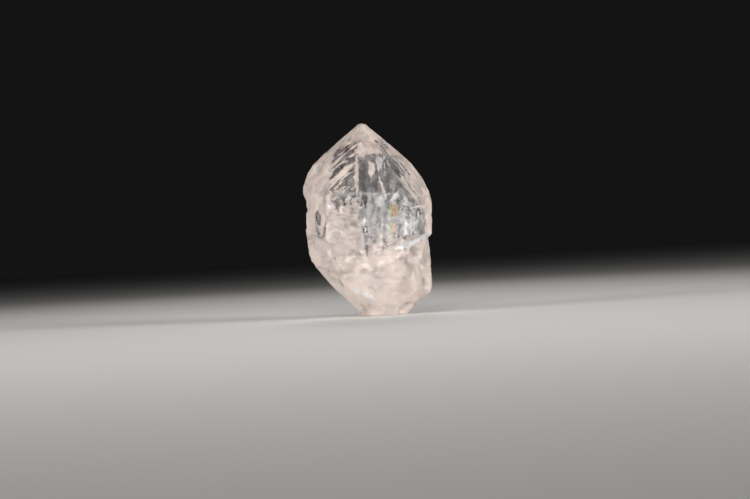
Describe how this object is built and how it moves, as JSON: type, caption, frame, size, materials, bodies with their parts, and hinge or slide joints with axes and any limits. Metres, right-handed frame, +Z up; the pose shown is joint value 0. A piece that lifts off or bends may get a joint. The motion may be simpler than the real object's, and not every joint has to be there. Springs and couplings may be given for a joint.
{
  "type": "double terminated quartz crystal",
  "caption": "Clear to milky quartz crystal with a point at both ends, the lower one blunt, and a growth ledge across its front.",
  "frame": {"origin": "middle of the bounding box at the height of the small blunt spot that the crystal rests on", "axes": "+Z up, -Y towards the viewer of the picture, +X to the viewer's right. The long axis of the crystal, towards its sharp point, leans 3 degrees from +Z towards +X, as the crystal stands"},
  "size_m": [0.0214, 0.0178, 0.0322],
  "materials": {
    "quartz": "natural crystal faces, frosted with clear patches"
  },
  "bodies": {
    "root": {"quartz_crystal": "quartz"}
  },
  "joints": []
}
